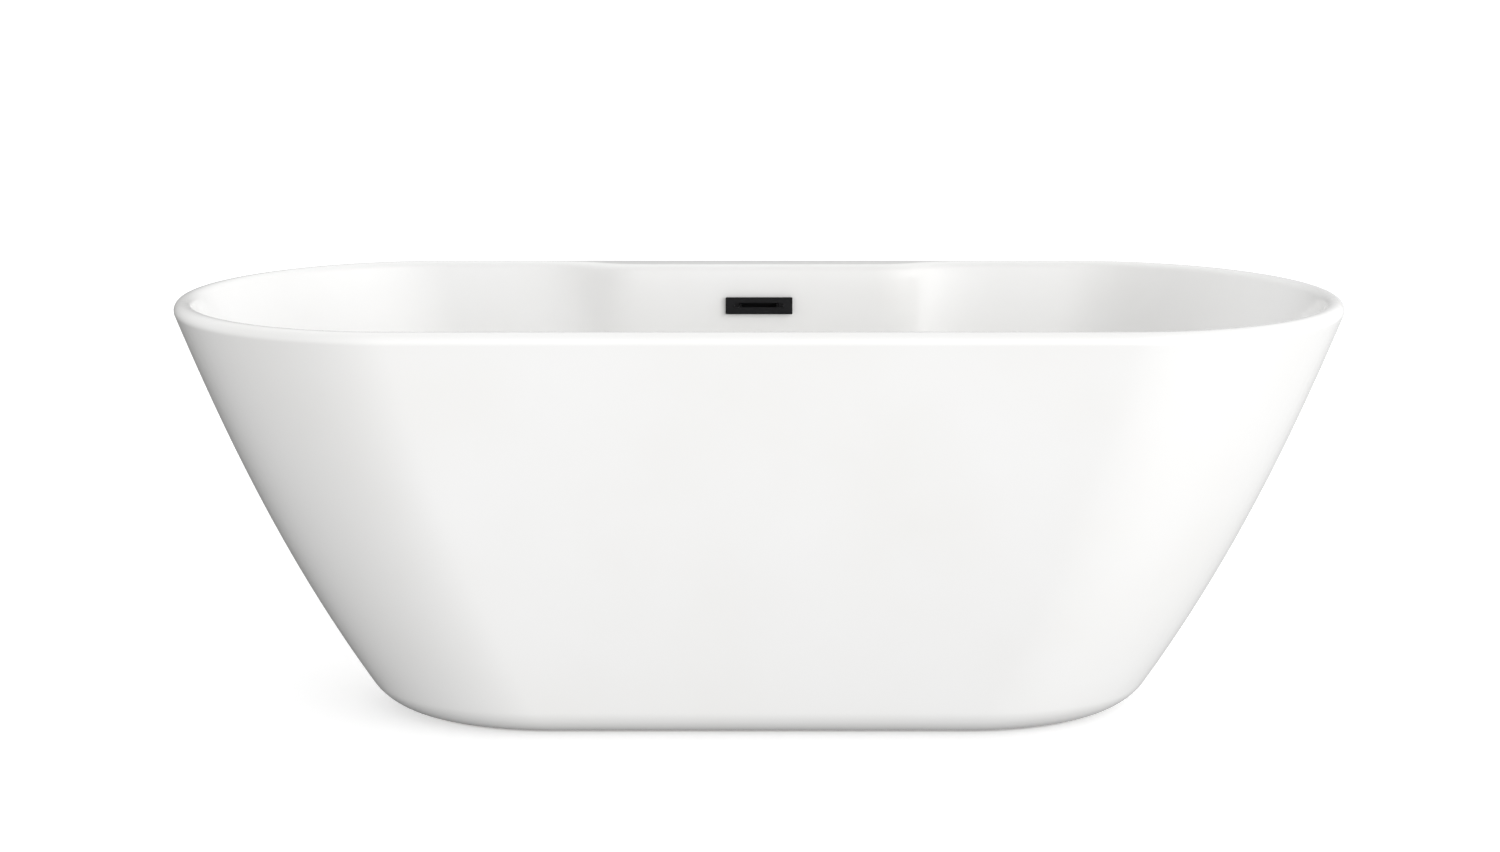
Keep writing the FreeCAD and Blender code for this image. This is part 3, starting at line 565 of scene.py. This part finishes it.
rows += [bath_row(z, SHELL) for z in roll_heights(RIM_RADIUS - SHELL, 16, 90, 8)]
rows += [outer_row(z, SHELL) for z in roll_heights(RIM_RADIUS - SHELL, 90, -24, 10)]
rows += [outer_row(SEAM_Z + (RIM_Z - 0.006 - SEAM_Z) * i / 3, SHELL) for i in (2, 1, 0)]
bm = bmesh.new()
skin_rows(bm, rows, loop=True)
basin = finish_mesh("inner_basin_shell", bm, looks["white_acrylic"])

panel_y = bath_half(BATH[1], WIDTH / 2, OVERFLOW_Z) - ledge_depth(OVERFLOW_Z)
panel = Matrix.Translation((0, panel_y, OVERFLOW_Z)) @ Matrix.Rotation(math.pi / 2 - LEDGE_LEAN, 4, "X")


def rounded_outline(width, height, corner, steps=5):
    points = []
    for sx, sy, start in ((1, 1, 0), (-1, 1, 90), (-1, -1, 180), (1, -1, 270)):
        for i in range(steps + 1):
            angle = math.radians(start + 90 * i / steps)
            points.append(Vector((
                sx * (width / 2 - corner) + corner * math.cos(angle),
                sy * (height / 2 - corner) + corner * math.sin(angle))))
    return points


def on_panel(outline, depth):
    return [panel @ Vector((p.x, p.y, depth)) for p in outline]


def plug_of(outline):
    """A bar with this outline, square to the panel, to cut a hole with."""
    bm = bmesh.new()
    made = skin_rows(bm, [on_panel(outline, -0.02), on_panel(outline, 0.02)])
    cap(bm, made[0])
    cap(bm, made[1])
    return finish_mesh("cutter", bm, looks["white_acrylic"])


holes = [plug_of(rounded_outline(*OVERFLOW_HOLE))]
for side in (-1, 1):
    r = SCREW_HOLE_RADIUS
    around = [2 * math.pi * i / 24 for i in range(24)]
    holes.append(plug_of([Vector((side * SCREW_X + r * math.cos(t), r * math.sin(t))) for t in around]))
cut(basin, holes)
stands_for(basin, "inner_basin", "tub")

# ------------------------------------------------------------------ screw feet


def threaded(bm, centre, low, high, radius, depth, pitch, steps=28):
    """A screw thread with its crests and roots cut flat, closed at both ends."""
    rows = []
    count = int((high - low) / pitch * 8)
    for i in range(count + 1):
        z = low + (high - low) * i / count
        row = []
        for k in range(steps):
            turn = k / steps
            phase = (z / pitch - turn) % 1.0
            ridge = min(1.0, max(0.0, 1.6 - abs(phase - 0.5) * 4.4))
            fade = min(1.0, (high - z) / pitch + 0.25, (z - low) / pitch + 0.25)
            r = radius - depth * (1 - ridge * fade)
            angle = 2 * math.pi * turn
            row.append(Vector((centre.x + r * math.cos(angle), centre.y + r * math.sin(angle), z)))
        rows.append(row)
    made = skin_rows(bm, rows)
    cap(bm, made[0])
    cap(bm, made[-1])


def hexagonal(bm, centre, low, high, flats, bevel):
    """A hexagon whose corners are turned off at both ends."""
    corner = flats / math.sqrt(3)
    rows = []
    for z, limit in ((low, flats / 2), (low + bevel, corner), (high - bevel, corner), (high, flats / 2)):
        row = []
        for k in range(60):
            angle = 2 * math.pi * k / 60
            to_flat = (angle % (math.pi / 3)) - math.pi / 6
            r = min(flats / 2 / math.cos(to_flat), limit)
            row.append(Vector((centre.x + r * math.cos(angle), centre.y + r * math.sin(angle), z)))
        rows.append(row)
    made = skin_rows(bm, rows)
    cap(bm, made[0])
    cap(bm, made[-1])


for row_name in ("front", "back"):
    for end_name in ("left", "right"):
        node = "foot_stud_%s_%s" % (row_name, end_name)
        low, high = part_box(node)
        centre = (low + high) / 2
        bm = bmesh.new()
        pin = [(0.0044, low.z), (0.005, low.z + 0.0006), (0.005, 0.0161)]
        turned(bm, pin, (centre.x, centre.y, 0), steps=32)
        hexagonal(bm, centre, 0.016, 0.025, 0.015, 0.0008)
        threaded(bm, centre, 0.0249, high.z, 0.006, 0.0009, PITCH)
        stud = finish_mesh("threaded_stud_%s_%s" % (row_name, end_name), bm, looks["zinc"], 28)
        stands_for(stud, node, "stud_%s_%s" % (row_name, end_name))

# ------------------------------------------------------------------ overflow hose

BACKED = SHELL + 0.0003 + 0.0025
HOSE_RADIUS = 0.009
RIB = 0.0036
hose_low, hose_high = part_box("overflow_pipe")
inlet_y = DRAIN.y + 0.054
spigot_y = hose_high.y - HOSE_RADIUS
spigot_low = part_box("overflow_chamber")[0].z
inlet_z = hose_low.z + HOSE_RADIUS


def cavity_middle(z):
    """Half way between the backings of the two shells, where the hose runs."""
    skin = outer_half(BASE[1], WIDTH / 2, z, BACKED)
    bowl = bath_half(BATH[1], WIDTH / 2, z, BACKED) - ledge_depth(z, BACKED)
    return (skin + bowl) / 2


def through(points, steps=24):
    """A smooth curve through points, with tangents from each point's neighbours."""
    curve = []
    last = len(points) - 1
    for i in range(last):
        p0, p1 = points[max(i - 1, 0)], points[i]
        p2, p3 = points[i + 1], points[min(i + 2, last)]
        for k in range(steps):
            t = k / steps
            curve.append(0.5 * (
                2 * p1 + (p2 - p0) * t + (2 * p0 - 5 * p1 + 4 * p2 - p3) * t * t
                + (3 * p1 - p0 - 3 * p2 + p3) * t ** 3))
    return curve + [points[-1]]


def even(points, step):
    """The same curve with points at equal distances along it."""
    spaced, travelled = [points[0]], 0.0
    for p, q in zip(points, points[1:]):
        span = (q - p).length
        while travelled + span >= step:
            share = (step - travelled) / span
            p = p.lerp(q, share)
            spaced.append(p)
            span = (q - p).length
            travelled = 0.0
        travelled += span
    return spaced


bend = [Vector((0, spigot_y, hose_high.z)), Vector((0, spigot_y, spigot_low))]
bend += [Vector((0, cavity_middle(0.440 - 0.030 * i), 0.440 - 0.030 * i)) for i in range(9)]
bend += [Vector((0, cavity_middle(0.150) - 0.006, 0.138)), Vector((0, inlet_y + 0.052, inlet_z + 0.015))]
bend += [Vector((0, inlet_y, inlet_z)), Vector((0, inlet_y - 0.020, inlet_z))]
hose_path = even(through(bend), RIB / 6)
cuff = int(0.022 / (RIB / 6))


def hose_radius(i):
    """Smooth cuffs at the ends, where the clips sit, and round ribs between them."""
    if i < cuff or i > len(hose_path) - 1 - cuff:
        return HOSE_RADIUS
    return HOSE_RADIUS - 0.0006 * (1 + math.cos(2 * math.pi * i / 6))


bm = bmesh.new()
swept(bm, hose_path, hose_radius, steps=24)
stands_for(finish_mesh("ribbed_hose", bm, looks["pipe_plastic"], 60), "overflow_pipe", "tub")

# ------------------------------------------------------------------ plug spring

spring_low, spring_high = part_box("plug_spring")
WIRE = 0.00045
COIL = 0.0048
TURNS = 7
coil_start, coil_end = spring_low.z + WIRE, spring_high.z - WIRE
coil = []
for i in range(TURNS * 36 + 1):
    share = i / (TURNS * 36)
    angle = 2 * math.pi * TURNS * share
    lift = coil_start + (coil_end - coil_start) * (share - 0.045 * math.sin(2 * math.pi * share))
    coil.append(Vector((COIL * math.cos(angle), DRAIN.y + COIL * math.sin(angle), lift)))
bm = bmesh.new()
swept(bm, coil, lambda i: WIRE, steps=10)
spring = stands_for(finish_mesh("coil_spring", bm, looks["stainless"], 60), "plug_spring", "tub")
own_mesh(spring)

# ------------------------------------------------------------------ drain flange and plug cap

flange_low, flange_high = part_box("drain_flange")
cap_low, cap_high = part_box("plug_cap")
flange_under = flange_high.z - 0.0025
profile = [(0.0245, flange_low.z), (0.0245, flange_under)]
profile += [(0.0346, flange_under), (0.035, flange_under + 0.0004)]
profile += arc(0.0338, flange_high.z - 0.0012, 0.0012, 0, 90)
profile += [(0.0296, flange_high.z - 0.0001), (0.0248, flange_high.z - 0.0002)]
profile += arc(0.0245, flange_high.z - 0.0012, 0.0010, 90, 160)
profile += [(0.021, flange_high.z - 0.0032), (0.021, flange_low.z + 0.0003), (0.0213, flange_low.z)]
bm = bmesh.new()
turned(bm, profile, (0, DRAIN.y, 0), steps=128, closed=True)
hub = [(0.0082, 0.116), (0.0108, 0.116), (0.011, 0.1163), (0.011, 0.1237), (0.0108, 0.124), (0.0082, 0.124)]
turned(bm, hub, (0, DRAIN.y, 0), steps=48, closed=True)
for k in range(4):
    along = Vector((math.cos(math.radians(45 + 90 * k)), math.sin(math.radians(45 + 90 * k)), 0))
    across = Z.cross(along)
    ends = []
    for reach in (0.0105, 0.0215):
        middle = Vector((0, DRAIN.y, 0.120)) + along * reach
        outline = rounded_outline(0.003, 0.008, 0.0008)
        ends.append([middle + across * p.x + Z * p.y for p in outline])
    made = skin_rows(bm, ends)
    cap(bm, made[0])
    cap(bm, made[1])
stands_for(finish_mesh("chrome_flange", bm, looks["chrome"], 30), "drain_flange", "tub")

CAP_RADIUS = cap_high.x
edge_z = cap_low.z + 0.005
DOME = 0.180
CAP_EDGE = 0.0014


def dome_height(r):
    return cap_high.z - (DOME - math.sqrt(DOME * DOME - r * r))


crown = [(0.0001, cap_high.z)]
crown += [(CAP_RADIUS * k / 16, dome_height(CAP_RADIUS * k / 16)) for k in range(1, 15)]
rim = arc(CAP_RADIUS - CAP_EDGE, dome_height(CAP_RADIUS - CAP_EDGE) - CAP_EDGE, CAP_EDGE, 82, 0)
under_side = [(CAP_RADIUS, edge_z + 0.0004), (CAP_RADIUS - 0.0004, edge_z), (0.0181, edge_z)]
skirt_part = [
    (0.018, edge_z - 0.0005), (0.016, edge_z - 0.0006), (0.016, edge_z - 0.0034), (0.018, edge_z - 0.0035),
    (0.018, cap_low.z + 0.0004), (0.0176, cap_low.z), (0.00405, cap_low.z), (0.00405, cap_low.z + 0.0075)]
bm = bmesh.new()
profile = [(0.0001, cap_low.z + 0.0076)] + skirt_part[::-1] + under_side[::-1] + rim[::-1] + crown[::-1]
turned(bm, profile, (0, DRAIN.y, 0), steps=128)
stands_for(finish_mesh("chrome_plug_cap", bm, looks["chrome"], 30), "plug_cap", "plug")

# ------------------------------------------------------------------ stage, light and camera

stage_floor, nodes, links, shader = new_material("pale_floor", (0.9, 0.9, 0.9), 0.9)
pale = tint(nodes, links, noise(nodes, links, 2.0), (0.895, 0.895, 0.895), (0.905, 0.905, 0.905))
links.new(pale, shader.inputs["Base Color"])
shader.inputs["Specular IOR Level"].default_value = 0.1
shader.inputs["Emission Color"].default_value = (1, 1, 1, 1)
shader.inputs["Emission Strength"].default_value = 0.32
bm = bmesh.new()
REACH = 60
edges = [[Vector((x, y, 0)) for x in (-REACH, REACH)] for y in (-REACH, REACH)]
skin_rows(bm, edges, around=False)
floor = finish_mesh("floor", bm, stage_floor)
floor.visible_diffuse = False
floor.visible_glossy = False
floor.visible_shadow = False

# soft light from all round, strongest from the front right: (azimuth, elevation, strength) of each lobe,
# with azimuth counted from +X towards +Y
AMBIENT = 0.02
LOBES = [
    (315, 0, 2.67), (315, 45, 0.56), (0, 0, 0.12), (45, 0, 0.90), (45, 45, 0.68),
    (135, 45, 1.22), (180, 0, 1.36), (270, 0, 0.82)]
world = bpy.data.worlds.new("studio")
bpy.context.scene.world = world
world.use_nodes = True
nodes, links = world.node_tree.nodes, world.node_tree.links


def world_math(operation, first, second):
    step = nodes.new("ShaderNodeMath")
    step.operation = operation
    for place, value in enumerate((first, second)):
        if isinstance(value, float):
            step.inputs[place].default_value = value
        else:
            links.new(value, step.inputs[place])
    return step.outputs["Value"]


direction = nodes.new("ShaderNodeTexCoord").outputs["Generated"]
total = None
for azimuth, rise, strength in LOBES:
    a, e = math.radians(azimuth), math.radians(rise)
    toward = nodes.new("ShaderNodeVectorMath")
    toward.operation = "DOT_PRODUCT"
    toward.inputs[1].default_value = (math.cos(a) * math.cos(e), math.sin(a) * math.cos(e), math.sin(e))
    links.new(direction, toward.inputs[0])
    lobe = world_math("POWER", world_math("MAXIMUM", toward.outputs["Value"], 0.0), 4.0)
    lobe = world_math("MULTIPLY", lobe, strength)
    total = world_math("ADD", lobe, AMBIENT if total is None else total)
links.new(total, nodes["Background"].inputs["Strength"])
nodes["Background"].inputs["Color"].default_value = (1, 1, 1, 1)

camera_data = bpy.data.cameras.new("camera")
camera = bpy.data.objects.new("camera", camera_data)
bpy.context.scene.collection.objects.link(camera)
elevation, distance = 0.20775, 3.9485
aim = Vector((0, 0, 0.290))
camera.location = aim + distance * Vector((0, -math.cos(elevation), math.sin(elevation)))
camera.rotation_euler = (math.pi / 2 - elevation, 0, 0)
camera_data.sensor_width = 36.0
camera_data.lens = 67.6
camera_data.shift_x = -9.0 / 1500
camera_data.shift_y = 72.7 / 1500
camera_data.clip_end = 200.0
bpy.context.scene.camera = camera
bpy.context.scene.view_settings.view_transform = "Standard"
